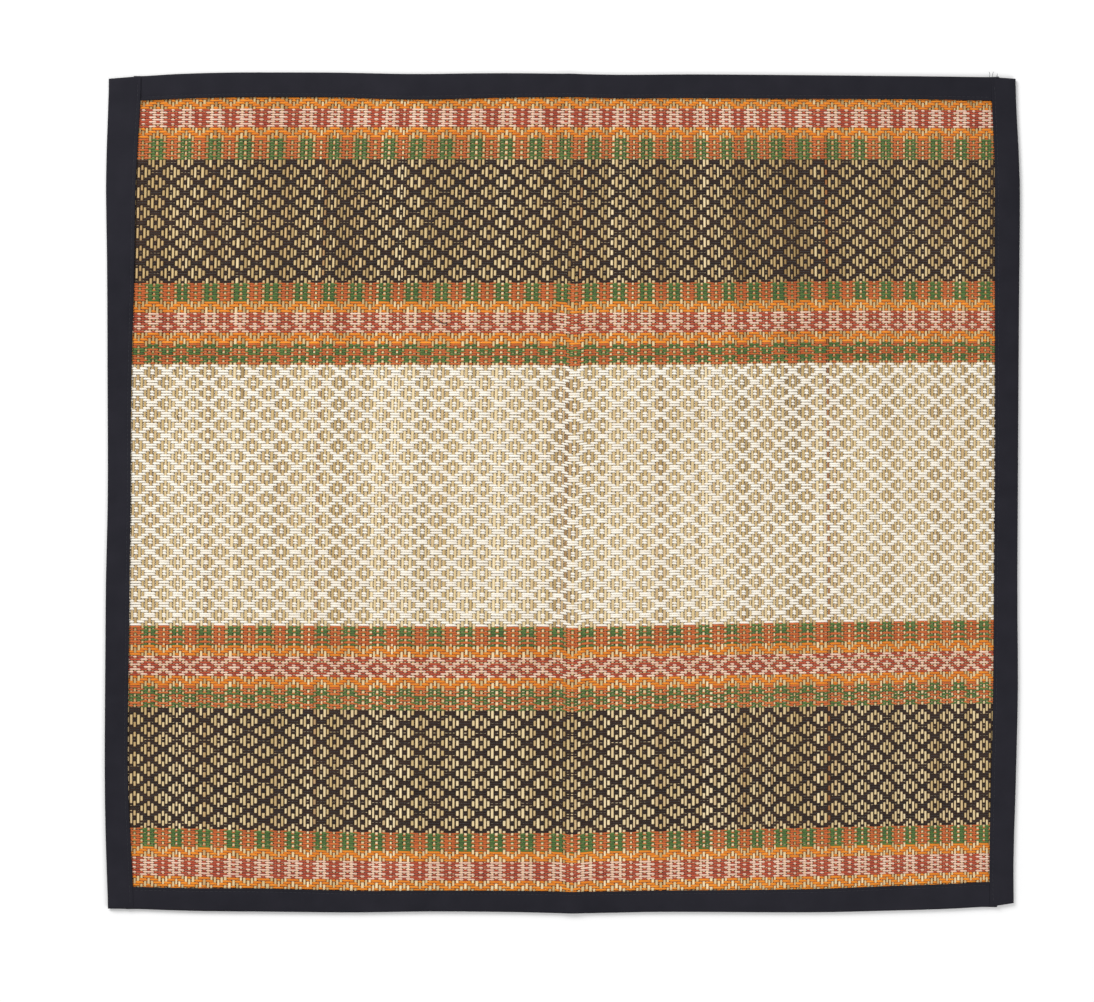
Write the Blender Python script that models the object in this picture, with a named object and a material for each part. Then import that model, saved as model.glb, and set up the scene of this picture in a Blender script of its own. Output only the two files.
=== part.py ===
"""A woven grass floor mat, lying flat on the floor.

Split reeds run from front to back and cotton yarns run from side to side. The woven
panel is bound on all four edges with cotton tape, which is folded over the edge and
sewn down. The side tapes run the whole depth of the mat, and the back and front tapes
run between them. A low ridge crosses the mat where it was folded in half for storage.

Metres, +Z up. The origin is under the middle of the mat, on the floor.
"""

from collections import namedtuple
import math

import bmesh
import bpy

MM = 0.001

# The mat as a whole
MAT_WIDTH = 610.0 * MM
MAT_DEPTH = 560.5 * MM
FULL_THICKNESS = 3.6 * MM
SEWING_GAP = 0.3 * MM

# The woven panel, which is pressed thinner where the tapes hold it
PANEL_THICKNESS = 2.2 * MM
PRESSED_THICKNESS = 1.0 * MM
RAMP_START = 0.5 * MM
RAMP_LENGTH = 5.5 * MM
PANEL_PITCH = 45.0 * MM
RIM_ZONE = 40.0 * MM

# The binding tape, whose raw edges are turned in
TAPE_THICKNESS = 1.0 * MM
FOLD_STEPS = 6
TAPE_PITCH = 24.0 * MM

# A place near a corner depends on two edges, so it is worked out this many times
SETTLING_STEPS = 3

# The fold line across the middle
CREASE_X = 6.0 * MM
CREASE_HALF_WIDTH = 9.0 * MM
CREASE_HEIGHT = 1.1 * MM
CREASE_STEPS = 4

STRAW = (0.60, 0.47, 0.28, 1.0)
NIGHT_BLUE = (0.020, 0.020, 0.027, 1.0)

# Each edge is read along its length, from the middle of the mat: how far the edge lies
# inside the full size there, and how wide its tape is there. All in millimetres.
EdgeRow = namedtuple("EdgeRow", "along inset tape")

BACK_EDGE = (
    EdgeRow(-304, 5.0, 14.2),
    EdgeRow(-283, 2.8, 14.3),
    EdgeRow(-258, 1.1, 14.9),
    EdgeRow(-217, 0.0, 15.3),
    EdgeRow(-150, 0.1, 15.5),
    EdgeRow(-100, 1.1, 16.1),
    EdgeRow(-50, 0.5, 15.6),
    EdgeRow(0, 0.8, 14.7),
    EdgeRow(35, 1.6, 14.8),
    EdgeRow(83, 1.3, 14.9),
    EdgeRow(150, 1.7, 15.0),
    EdgeRow(233, 2.5, 14.5),
    EdgeRow(275, 3.0, 14.8),
    EdgeRow(304, 3.6, 14.9),
)
FRONT_EDGE = (
    EdgeRow(-304, 3.2, 14.2),
    EdgeRow(-283, 3.0, 14.4),
    EdgeRow(-250, 1.7, 14.8),
    EdgeRow(-200, 1.2, 15.0),
    EdgeRow(-133, 0.6, 13.9),
    EdgeRow(-95, 1.3, 13.5),
    EdgeRow(-33, 0.9, 13.7),
    EdgeRow(10, 0.0, 13.9),
    EdgeRow(62, 1.0, 13.7),
    EdgeRow(167, 0.7, 15.0),
    EdgeRow(217, 1.8, 15.9),
    EdgeRow(262, 3.2, 16.0),
    EdgeRow(283, 4.8, 16.0),
    EdgeRow(293, 4.1, 16.0),
    EdgeRow(304, 6.0, 16.0),
)
LEFT_EDGE = (
    EdgeRow(-280, 2.4, 16.2),
    EdgeRow(-262, 1.7, 15.9),
    EdgeRow(-228, 0.6, 15.5),
    EdgeRow(-188, 0.0, 14.5),
    EdgeRow(-95, 0.5, 15.2),
    EdgeRow(-50, 0.9, 15.2),
    EdgeRow(-25, 1.7, 14.9),
    EdgeRow(12, 2.1, 14.8),
    EdgeRow(72, 1.9, 15.4),
    EdgeRow(150, 1.6, 17.6),
    EdgeRow(212, 0.8, 19.2),
    EdgeRow(240, 1.8, 19.3),
    EdgeRow(280, 3.0, 20.2),
)
RIGHT_EDGE = (
    EdgeRow(-280, 4.1, 15.4),
    EdgeRow(-245, 4.3, 15.4),
    EdgeRow(-205, 3.1, 15.9),
    EdgeRow(-160, 1.9, 16.0),
    EdgeRow(-128, 1.3, 16.0),
    EdgeRow(-68, 1.7, 15.2),
    EdgeRow(12, 1.3, 15.0),
    EdgeRow(112, 0.7, 15.5),
    EdgeRow(190, 0.0, 16.3),
    EdgeRow(215, 0.2, 15.9),
    EdgeRow(250, 2.1, 15.6),
    EdgeRow(280, 3.2, 15.9),
)


def read_edge(rows, along, column):
    """One column of an edge's rows at a place along it, on a smooth curve, in metres."""
    places = [row.along * MM for row in rows]
    values = [getattr(row, column) * MM for row in rows]
    along = min(max(along, places[0]), places[-1])
    last = len(rows) - 1
    after = next(i for i in range(1, last + 1) if along <= places[i])
    before = after - 1

    def slope(i):
        low, high = max(i - 1, 0), min(i + 1, last)
        return (values[high] - values[low]) / (places[high] - places[low])

    span = places[after] - places[before]
    t = (along - places[before]) / span
    start, end = values[before], values[after]
    value = (
        (2 * t**3 - 3 * t**2 + 1) * start
        + (t**3 - 2 * t**2 + t) * span * slope(before)
        + (3 * t**2 - 2 * t**3) * end
        + (t**3 - t**2) * span * slope(after)
    )
    return max(value, 0.0)


def left_x(y, inside=0.0, tapes=0.0):
    """X of the left edge, or further in by a distance and a share of the tape's width."""
    inset = read_edge(LEFT_EDGE, y, "inset") + tapes * read_edge(LEFT_EDGE, y, "tape")
    return -MAT_WIDTH / 2 + inset + inside


def right_x(y, inside=0.0, tapes=0.0):
    inset = read_edge(RIGHT_EDGE, y, "inset") + tapes * read_edge(RIGHT_EDGE, y, "tape")
    return MAT_WIDTH / 2 - inset - inside


def back_y(x, inside=0.0, tapes=0.0):
    inset = read_edge(BACK_EDGE, x, "inset") + tapes * read_edge(BACK_EDGE, x, "tape")
    return MAT_DEPTH / 2 - inset - inside


def front_y(x, inside=0.0, tapes=0.0):
    inset = read_edge(FRONT_EDGE, x, "inset") + tapes * read_edge(FRONT_EDGE, x, "tape")
    return -MAT_DEPTH / 2 + inset + inside


def crease_lift(x):
    """How far the fold line lifts the whole mat off the floor."""
    away = abs(x - CREASE_X) / CREASE_HALF_WIDTH
    if away >= 1.0:
        return 0.0
    return CREASE_HEIGHT * 0.5 * (1.0 + math.cos(math.pi * away))


def mix(start, end, share):
    return start + (end - start) * share


def even_steps(start, end, pitch):
    """Places from start to end, about a pitch apart, with both ends."""
    count = max(2, round((end - start) / pitch))
    return [mix(start, end, i / count) for i in range(count + 1)]


def steps_with_crease(start, end, pitch):
    """Places along X that take extra ones over the fold line."""
    low, high = CREASE_X - CREASE_HALF_WIDTH, CREASE_X + CREASE_HALF_WIDTH
    ridge = [mix(low, high, i / CREASE_STEPS) for i in range(1, CREASE_STEPS)]
    return even_steps(start, low, pitch) + ridge + even_steps(high, end, pitch)


def cloth_material(name, colour, roughness):
    material = bpy.data.materials.new(name)
    material.use_nodes = True
    shader = material.node_tree.nodes["Principled BSDF"]
    shader.inputs["Base Color"].default_value = colour
    shader.inputs["Roughness"].default_value = roughness
    shader.inputs["Metallic"].default_value = 0.0
    return material


def new_piece(name, mesh_in_progress, material):
    mesh = bpy.data.meshes.new(name)
    bmesh.ops.recalc_face_normals(mesh_in_progress, faces=mesh_in_progress.faces)
    mesh_in_progress.to_mesh(mesh)
    mesh_in_progress.free()
    mesh.materials.append(material)
    mesh.shade_smooth()
    mesh.set_sharp_from_angle(angle=math.radians(40))
    piece = bpy.data.objects.new(name, mesh)
    bpy.context.collection.objects.link(piece)
    return piece


def panel_height(pressed):
    """Underside and top of the panel, between its free middle and its pressed rim."""
    rim_bottom = (FULL_THICKNESS - PRESSED_THICKNESS) / 2
    rim_top = rim_bottom + PRESSED_THICKNESS
    return mix(0.0, rim_bottom, pressed), mix(PANEL_THICKNESS, rim_top, pressed)


# A line of the panel's grid. A free line lies at a fixed coordinate. The others follow
# the mat's low or high edge, at a distance in from it and a share of its tape's width.
GridLine = namedtuple("GridLine", "follows place tapes pressed")


def panel_lines(free_places):
    """Grid lines from one edge of the panel to the other, with how pressed each one is."""
    rim = (
        (FULL_THICKNESS / 2, 0.0, 1.0),
        (RAMP_START, 1.0, 1.0),
        (RAMP_START + RAMP_LENGTH * 0.5, 1.0, 0.35),
        (RAMP_START + RAMP_LENGTH, 1.0, 0.0),
    )
    low = [GridLine("low", *row) for row in rim]
    free = [GridLine("free", place, 0.0, 0.0) for place in free_places]
    high = [GridLine("high", *row) for row in reversed(rim)]
    return low + free + high


def place_on(line, low_edge, high_edge, along):
    """Coordinate of a grid line, at a place along the two edges that it may follow."""
    if line.follows == "free":
        return line.place
    edge = low_edge if line.follows == "low" else high_edge
    return edge(along, line.place, line.tapes)


def make_woven_panel(material):
    """One flat sheet to just inside the tapes' folds, thinner where the tapes press it."""
    half_width = MAT_WIDTH / 2 - RIM_ZONE
    half_depth = MAT_DEPTH / 2 - RIM_ZONE
    columns = panel_lines(steps_with_crease(-half_width, half_width, PANEL_PITCH))
    rows = panel_lines(even_steps(-half_depth, half_depth, PANEL_PITCH))
    bm = bmesh.new()
    pressed = bm.verts.layers.float.new("pressed")
    grid = []
    for column in columns:
        line = []
        for row in rows:
            y = place_on(row, front_y, back_y, 0.0)
            for _ in range(SETTLING_STEPS):
                x = place_on(column, left_x, right_x, y)
                y = place_on(row, front_y, back_y, x)
            share = max(column.pressed, row.pressed)
            bottom, _ = panel_height(share)
            vert = bm.verts.new((x, y, bottom + crease_lift(x)))
            vert[pressed] = share
            line.append(vert)
        grid.append(line)
    for line, following in zip(grid, grid[1:]):
        for j in range(len(line) - 1):
            bm.faces.new((line[j], following[j], following[j + 1], line[j + 1]))
    raised = bmesh.ops.extrude_face_region(bm, geom=list(bm.faces))["geom"]
    for vert in (item for item in raised if isinstance(item, bmesh.types.BMVert)):
        bottom, top = panel_height(vert[pressed])
        vert.co.z += top - bottom
    return new_piece("woven_panel", bm, material)


def fold_profile():
    """The outside of a folded tape, from its lower edge round the fold to its upper edge.

    Each point is a distance in from the mat's edge, a share of the tape's width and a
    height.
    """
    radius = FULL_THICKNESS / 2
    points = [(0.0, 1.0, 0.0), (0.0, 0.5, 0.0)]
    for i in range(FOLD_STEPS + 1):
        angle = math.pi * i / FOLD_STEPS
        points.append((radius * (1 - math.sin(angle)), 0.0, radius * (1 - math.cos(angle))))
    points += [(0.0, 0.5, FULL_THICKNESS), (0.0, 1.0, FULL_THICKNESS)]
    return points


def make_tape(name, sections, material):
    """A strip through the sections, given its thickness inwards from its outer face."""
    bm = bmesh.new()
    lines = [[bm.verts.new(place) for place in section] for section in sections]
    for line, following in zip(lines, lines[1:]):
        for i in range(len(line) - 1):
            bm.faces.new((line[i], line[i + 1], following[i + 1], following[i]))
    piece = new_piece(name, bm, material)
    solidify = piece.modifiers.new("cloth thickness", "SOLIDIFY")
    solidify.thickness = TAPE_THICKNESS
    solidify.offset = -1.0
    solidify.use_even_offset = True
    solidify.use_rim = True
    return piece


def side_tape_sections(edge_x):
    """Cross-sections of a side tape, from the front of the mat to its back."""
    sections = []
    for share in even_steps(0.0, 1.0, TAPE_PITCH / MAT_DEPTH):
        section = []
        for inside, tapes, z in fold_profile():
            y = mix(-MAT_DEPTH / 2, MAT_DEPTH / 2, share)
            for _ in range(SETTLING_STEPS):
                x = edge_x(y, inside, tapes)
                y = mix(front_y(x), back_y(x), share)
            section.append((x, y, z))
        sections.append(section)
    return sections


def end_tape_sections(edge_y):
    """Cross-sections of the back or front tape, from one side tape to the other."""
    steps = steps_with_crease(-MAT_WIDTH / 2, MAT_WIDTH / 2, TAPE_PITCH)
    shares = [(x + MAT_WIDTH / 2) / MAT_WIDTH for x in steps]
    sections = []
    for share in shares:
        section = []
        for inside, tapes, z in fold_profile():
            x = mix(-MAT_WIDTH / 2, MAT_WIDTH / 2, share)
            for _ in range(SETTLING_STEPS):
                y = edge_y(x, inside, tapes)
                x = mix(left_x(y, SEWING_GAP, 1.0), right_x(y, SEWING_GAP, 1.0), share)
            section.append((x, y, z + crease_lift(x)))
        sections.append(section)
    return sections


def build_mat():
    for old in list(bpy.data.objects):
        bpy.data.objects.remove(old, do_unlink=True)
    weave = cloth_material("woven reed", STRAW, 0.75)
    binding = cloth_material("binding cloth", NIGHT_BLUE, 0.85)
    make_woven_panel(weave)
    make_tape("binding_left", side_tape_sections(left_x), binding)
    make_tape("binding_right", side_tape_sections(right_x), binding)
    make_tape("binding_back", end_tape_sections(back_y), binding)
    make_tape("binding_front", end_tape_sections(front_y), binding)


build_mat()
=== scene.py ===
# %% [markdown]
# # A grass floor mat
#
# The real mat is woven on a hand loom. Split, flattened reeds are laid in from front to
# back, and coloured cotton yarns pass over and under them from side to side. The four
# cut edges are then wrapped in dark cotton tape, which is folded over and sewn down.
#
# The solids of the mat are loaded first and are never moved. Every strand that is made
# below is placed by them, so the looks and the solids stay one object.

import math
from collections import namedtuple

import bpy
import numpy as np
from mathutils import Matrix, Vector
from mathutils.bvhtree import BVHTree


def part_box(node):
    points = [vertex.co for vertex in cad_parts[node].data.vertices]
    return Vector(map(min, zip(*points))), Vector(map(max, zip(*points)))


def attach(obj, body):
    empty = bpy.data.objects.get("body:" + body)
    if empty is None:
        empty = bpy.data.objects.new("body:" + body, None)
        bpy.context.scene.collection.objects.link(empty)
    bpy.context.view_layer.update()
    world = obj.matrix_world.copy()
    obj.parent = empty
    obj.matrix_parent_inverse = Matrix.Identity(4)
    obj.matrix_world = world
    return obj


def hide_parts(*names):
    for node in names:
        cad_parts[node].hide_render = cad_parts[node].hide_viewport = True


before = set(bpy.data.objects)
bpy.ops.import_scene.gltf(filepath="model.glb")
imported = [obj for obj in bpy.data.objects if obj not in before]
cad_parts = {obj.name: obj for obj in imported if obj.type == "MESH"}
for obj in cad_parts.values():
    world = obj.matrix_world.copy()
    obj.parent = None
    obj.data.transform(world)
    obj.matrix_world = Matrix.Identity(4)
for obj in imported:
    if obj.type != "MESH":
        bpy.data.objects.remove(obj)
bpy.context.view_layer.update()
print("solids:", sorted(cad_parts))

# %% [markdown]
# ## Reading the solids
#
# The panel's solid is a plain sheet. It is thinner where the tapes press it, and it
# rises a little over the old fold line. Rays that are cast down and up through it give
# the height of its middle layer and half of its thickness, on a fine grid. A strand of
# the weave then asks the grid how high it lies, and how far it may swing up and down.

# %% Measure the height and thickness of the panel
MM = 0.001
UP = Vector((0, 0, 1))
DOWN = Vector((0, 0, -1))
FAR = 20 * MM
GRID_STEP = 2 * MM


def surface_of(node):
    """A search tree over one solid, which finds where a ray meets it."""
    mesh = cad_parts[node].data
    points = [vertex.co.copy() for vertex in mesh.vertices]
    faces = [tuple(face.vertices) for face in mesh.polygons]
    return BVHTree.FromPolygons(points, faces)


panel_low, panel_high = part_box("woven_panel")
grid_x = np.arange(panel_low.x, panel_high.x + GRID_STEP, GRID_STEP)
grid_y = np.arange(panel_low.y, panel_high.y + GRID_STEP, GRID_STEP)
RIM_MIDDLE = 1.8 * MM
RIM_HALF = 0.5 * MM
middle_grid = np.full((len(grid_x), len(grid_y)), RIM_MIDDLE)
half_grid = np.full((len(grid_x), len(grid_y)), RIM_HALF)
panel_tree = surface_of("woven_panel")
for i, x in enumerate(grid_x):
    for j, y in enumerate(grid_y):
        top = panel_tree.ray_cast(Vector((x, y, FAR)), DOWN)[0]
        bottom = panel_tree.ray_cast(Vector((x, y, -FAR)), UP)[0]
        if top is not None and bottom is not None:
            middle_grid[i, j] = (top.z + bottom.z) / 2
            half_grid[i, j] = (top.z - bottom.z) / 2
print("panel thickness, mm:", round(half_grid.min() * 2000, 2), round(half_grid.max() * 2000, 2))

# %% [markdown]
# A value between the grid's points is mixed from the four around it. The same function
# serves the height and the thickness.

# %% Read the grids at any place
def read_grid(grid, x, y):
    """Mixes the four grid values around each place."""
    column = np.clip((x - grid_x[0]) / GRID_STEP, 0, len(grid_x) - 1.001)
    row = np.clip((y - grid_y[0]) / GRID_STEP, 0, len(grid_y) - 1.001)
    i, s = column.astype(int), column % 1
    j, t = row.astype(int), row % 1
    near = grid[i, j] * (1 - s) + grid[i + 1, j] * s
    far = grid[i, j + 1] * (1 - s) + grid[i + 1, j + 1] * s
    return near * (1 - t) + far * t


FREE_MIDDLE = float(read_grid(middle_grid, np.array(-0.15), np.array(0.0)))


def fold_lift(x):
    """How far the fold line lifts the mat, at places along its width."""
    x = np.asarray(x, float)
    return np.maximum(read_grid(middle_grid, x, np.zeros_like(x)) - FREE_MIDDLE, 0.0)


print("fold line, mm:", round(float(fold_lift(np.array([0.006]))[0]) * 1000, 2))

# %% [markdown]
# Each tape has an outer edge, where the cloth folds round the panel, and an inner edge,
# where it ends on the weave. Both wander, because the tape was guided by hand. A ray
# from outside meets the fold, and a ray from the middle of the mat meets the inner edge
# of the upper layer. A little smoothing takes out the corners of the plain solid. The
# soft cloth reaches a little further in than the solid does, by a millimetre or two.

# %% Measure the edges of the tapes
FULL_THICKNESS = 3.6 * MM
TAPE_THICKNESS = 1.0 * MM
EDGE_STEP = 3 * MM
SMOOTHING = np.array([1, 3, 5, 6, 5, 3, 1]) / 24
TapeEdges = namedtuple("TapeEdges", "places outer inner")
REACH_IN = {
    "binding_left": ((-240, 1.4), (-120, 0.8), (100, 0.7), (200, 1.0), (260, 2.0)),
    "binding_right": ((-240, 0.9), (0, 0.6), (240, 0.8)),
    "binding_back": ((-285, 2.2), (-200, 1.3), (280, 1.1)),
    "binding_front": ((-280, 0.6), (280, 0.8)),
}


def smoothed(values):
    padded = np.pad(values, len(SMOOTHING) // 2, mode="edge")
    return np.convolve(padded, SMOOTHING, mode="valid")


def read_tape(node, across, outwards):
    """Outer and inner edge of a tape. across is the axis that its width lies on."""
    tree = surface_of(node)
    low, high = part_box(node)
    along = 1 - across
    places, outer, inner = [], [], []
    for place in np.arange(low[along] + EDGE_STEP, high[along] - EDGE_STEP, EDGE_STEP):
        lift = float(fold_lift(place)) if along == 0 else 0.0
        direction = Vector((0, 0, 0))
        direction[across] = outwards
        start = Vector((0, 0, FULL_THICKNESS - TAPE_THICKNESS / 2 + lift))
        start[along] = place
        from_middle = tree.ray_cast(start, direction)[0]
        start.z = FULL_THICKNESS / 2 + lift
        start[across] = outwards
        from_outside = tree.ray_cast(start, -direction)[0]
        if from_middle is None or from_outside is None:
            continue
        places.append(place)
        outer.append(from_outside[across])
        inner.append(from_middle[across])
    places = np.array(places)
    reach = np.interp(places, *np.array(REACH_IN[node]).T * MM)
    inner = smoothed(np.array(inner)) - reach * outwards
    return TapeEdges(places, smoothed(np.array(outer)), inner)


edges = {
    "left": read_tape("binding_left", 0, -1),
    "right": read_tape("binding_right", 0, 1),
    "back": read_tape("binding_back", 1, 1),
    "front": read_tape("binding_front", 1, -1),
}
for side, edge in edges.items():
    width = np.abs(edge.outer - edge.inner) * 1000
    print(side, "tape, mm wide:", round(width.min(), 1), "to", round(width.max(), 1))

# %% [markdown]
# ## The chart of the weave
#
# A weaver threads the loom to four shafts. Shaft 1 lifts one set of reeds, shaft 2
# another, and the whole pattern of rings, squares and chevrons comes from the order of
# the shafts and the colours. The motif repeats after eight reeds, so each shaft is a
# list of the reeds, 0 to 7, that its yarn passes over. A word of the chart is one place
# in the reed comb: `K3` is one black yarn on shaft 3, and `W4R2` is a white and a red
# yarn together, where one shows wherever the other is below.

# %% Shafts and bands, from the back of the mat to the front
SHAFTS = {
    "1": (7, 0, 1, 4),
    "2": (1, 2, 6, 7),
    "3": (2, 3, 5, 6),
    "4": (3, 4, 5, 0),
}
MOTIF = 8
PLAIN_ORANGE = "Y4 Y3 Y2 Y1 "
RED_BLOCKS = "W4R2 W3R1 " * 4
GREEN_BLOCKS = "O1G4 O2G3 " * 4
GREEN_BLOCKS_TURNED = "O2G3 O1G4 " * 4
BLACK_RINGS = "K1 " + "K1 K2 K3 K4 K4 K3 K2 K1 " * 6
WHITE_RINGS = "N3 N2 N1 " + "N1 N2 N3 N4 N4 N3 N2 N1 " * 12
Band = namedtuple("Band", "width chart")
BANDS = (
    Band(8.0, "Y1 " + PLAIN_ORANGE),
    Band(12.4, RED_BLOCKS),
    Band(7.2, PLAIN_ORANGE),
    Band(14.3, GREEN_BLOCKS),
    Band(82.3, BLACK_RINGS),
    Band(12.2, GREEN_BLOCKS_TURNED),
    Band(7.6, PLAIN_ORANGE),
    Band(13.6, "W4R2 W3R1 W4R2 W3R1 W4R2 W1R3 W4R2 W3R1"),
    Band(7.3, PLAIN_ORANGE),
    Band(14.0, "O1G4 O2G3 G1O4 G2O3 G1O4 O2G3 O1G4 O2G3 O1"),
    Band(174.7, WHITE_RINGS),
    Band(13.2, "O1G4 O2G3 O1G4 O2G3 O1O4 O2G3 O1O4 O2G3"),
    Band(7.1, PLAIN_ORANGE),
    Band(13.8, "W4R2 W3R1 W2R4 W1R3 W4R2 W1R3 W2R4 W3R1"),
    Band(6.8, PLAIN_ORANGE),
    Band(14.7, "O1G4 O2G3 O1G4 G2O3 G1O4 G2O3 O1G4 O2G3"),
    Band(81.6, BLACK_RINGS),
    Band(12.2, GREEN_BLOCKS_TURNED),
    Band(7.0, PLAIN_ORANGE),
    Band(12.7, RED_BLOCKS),
    Band(7.2, PLAIN_ORANGE),
)
print("bands:", len(BANDS), " woven depth, mm:", round(sum(band.width for band in BANDS), 1))

# %% [markdown]
# The bands are laid out from the back edge of the weave. A few more orange rows go
# under the tape at each end, because the real weave runs on to its cut edge there.
# No two rows are beaten equally hard, so each one is a little out of its place.

# %% Lay out the rows
FIRST_ROW_Y = 264.2 * MM
WOVEN_DEPTH = sum(band.width for band in BANDS) * MM
HIDDEN_ROWS = 4
HIDDEN_PITCH = 1.7 * MM
ROW_JITTER = 0.07 * MM
chance = np.random.default_rng(41)
Row = namedtuple("Row", "y pitch yarns")


def yarns_of(word):
    """The colour letter and the shaft of each yarn in one word of the chart."""
    return [(word[i], word[i + 1]) for i in range(0, len(word), 2)]


rows = []
for k in range(HIDDEN_ROWS, 0, -1):
    shaft = "4321"[k % 4]
    rows.append(Row(FIRST_ROW_Y + (k - 0.5) * HIDDEN_PITCH, HIDDEN_PITCH, [("Y", shaft)]))
band_top = FIRST_ROW_Y
for band in BANDS:
    words = band.chart.split()
    pitch = band.width * MM / len(words)
    for k, word in enumerate(words):
        y = band_top - (k + 0.5) * pitch + chance.normal(0, ROW_JITTER)
        rows.append(Row(y, pitch, yarns_of(word)))
    band_top -= band.width * MM
for k in range(HIDDEN_ROWS):
    shaft = "4321"[k % 4]
    rows.append(Row(band_top - (k + 0.5) * HIDDEN_PITCH, HIDDEN_PITCH, [("Y", shaft)]))
print("rows:", len(rows), " yarns:", sum(len(row.yarns) for row in rows))

# %% [markdown]
# The rows aren't straight. The left and right ends of the mat were pulled back and
# forth on the loom, so the bands bend. A short table says how far a row lies in front
# of its own middle, at a few places along it, for a few depths of the mat. Where the
# mat was once folded, the rows also dip a little.

# %% Bend the rows
BEND_PLACES = np.array((-280, -190, -70, 30, 110, 180, 280)) * MM
BendRow = namedtuple("BendRow", "share forward")
BEND = (
    BendRow(0.00, (0.5, 0.2, 0.0, 0.0, 0.2, 0.6, 1.3)),
    BendRow(0.08, (0.4, 0.1, 0.0, 0.0, 0.1, 0.2, 0.4)),
    BendRow(0.23, (0.4, 0.0, 0.0, 0.0, -0.2, -1.2, -0.9)),
    BendRow(0.34, (-0.4, -0.1, 0.0, 0.0, -0.5, -1.6, -1.7)),
    BendRow(0.67, (-0.8, -0.8, -0.2, 0.0, -1.9, -3.1, -4.7)),
    BendRow(0.77, (-2.2, -1.0, 0.3, 0.0, -1.6, -2.8, -4.8)),
    BendRow(0.93, (-3.6, -1.2, 0.6, 0.0, -2.0, -3.5, -5.6)),
    BendRow(1.00, (-3.7, -1.3, 0.0, 0.0, -1.6, -3.1, -6.3)),
)
BEND_SMOOTHING = np.array((-24, 0, 24)) * MM
CREASE_X = 7 * MM
CREASE_REACH = 7 * MM
CREASE_DIP = 1.1 * MM


def bend(x, y):
    """How far a row lies in front of its own middle, at places x along it."""
    share = (FIRST_ROW_Y - y) / WOVEN_DEPTH
    shares = [row.share for row in BEND]
    columns = zip(*[row.forward for row in BEND])
    forward = np.array([np.interp(share, shares, column) for column in columns]) * MM
    curves = [np.interp(x + shift, BEND_PLACES, forward) for shift in BEND_SMOOTHING]
    dip = CREASE_DIP * np.exp(-(((x - CREASE_X) / CREASE_REACH) ** 2)) * min(share / 0.3, 1)
    return sum(curves) / len(curves) + dip


print("right end at the front, mm:", np.round(bend(np.array([0.27]), -0.25) * 1000, 2))

# %% [markdown]
# ## The reeds
#
# Each reed was split by hand, so no two are equally wide. On this mat they are wider on
# the left than on the right. They are laid from left to right here: a table gives the
# usual pitch, and chance makes each reed a little wider or narrower. Towards the front
# they drift sideways, because a reed tapers and its neighbours fill the room.

# %% Lay out the reeds
PitchRow = namedtuple("PitchRow", "x pitch")
REED_PITCHES = (
    PitchRow(-275, 2.50),
    PitchRow(-235, 2.35),
    PitchRow(-165, 2.55),
    PitchRow(-125, 2.25),
    PitchRow(-40, 2.45),
    PitchRow(25, 2.48),
    PitchRow(45, 2.17),
    PitchRow(110, 2.20),
    PitchRow(150, 2.05),
    PitchRow(180, 2.30),
    PitchRow(280, 2.12),
)
DriftRow = namedtuple("DriftRow", "x drift")
REED_DRIFT = (
    DriftRow(-275, -6.5),
    DriftRow(-175, -10.5),
    DriftRow(-80, -9.5),
    DriftRow(20, -5.5),
    DriftRow(110, 4.5),
    DriftRow(200, 2.0),
    DriftRow(265, -2.0),
)
FIRST_MOTIF_X = -269.0 * MM
REEDS_BEFORE = 8
REED_COUNT = 253
REED_UNEVENNESS = 0.10
MOTIFS_SEEN = 29
SEEN_SPAN = 535.0 * MM


def reed_edges_at_back():
    """X of the edges between the reeds, at the back of the mat."""
    places = [row.x * MM for row in REED_PITCHES]
    pitches = [row.pitch * MM for row in REED_PITCHES]
    widths = 1 + REED_UNEVENNESS * np.clip(chance.normal(size=REED_COUNT), -2.2, 2.2)
    xs = [FIRST_MOTIF_X]
    for width in widths:
        xs.append(xs[-1] + width * np.interp(xs[-1], places, pitches))
    xs = np.array(xs)
    centre = (xs[REEDS_BEFORE] + xs[REEDS_BEFORE + 1]) / 2
    last = REEDS_BEFORE + MOTIFS_SEEN * MOTIF
    span = (xs[last] + xs[last + 1]) / 2 - centre
    return FIRST_MOTIF_X + (xs - centre) * SEEN_SPAN / span


back_edges = reed_edges_at_back()


def reed_edges(y):
    """X of the edges between the reeds, at one depth of the mat."""
    share = np.clip((FIRST_ROW_Y - y) / WOVEN_DEPTH, 0, 1)
    settled = 1 - (1 - share) ** 2.2
    places = [row.x * MM for row in REED_DRIFT]
    drift = np.interp(back_edges, places, [row.drift * MM for row in REED_DRIFT])
    return back_edges + drift * settled


reed_columns = (np.arange(REED_COUNT) - REEDS_BEFORE + 4) % MOTIF
pitches = np.diff(back_edges) * 1000
print("reeds:", REED_COUNT, " pitch, mm:", np.round((pitches.min(), pitches.max()), 2))

# %% [markdown]
# ## Making many strands
#
# There are hundreds of reeds and yarns, so they are made as joined meshes from arrays.
# A strand is a row of rings, each with the same few points, in order round the strand.
# Neighbouring rings are joined by faces, and both ends are closed. Every strand carries
# a `tone`, its own shade, for its material to read, and a flat map seen from above.

# %% A joined mesh from strands
MAP_SPAN = 0.64


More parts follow.
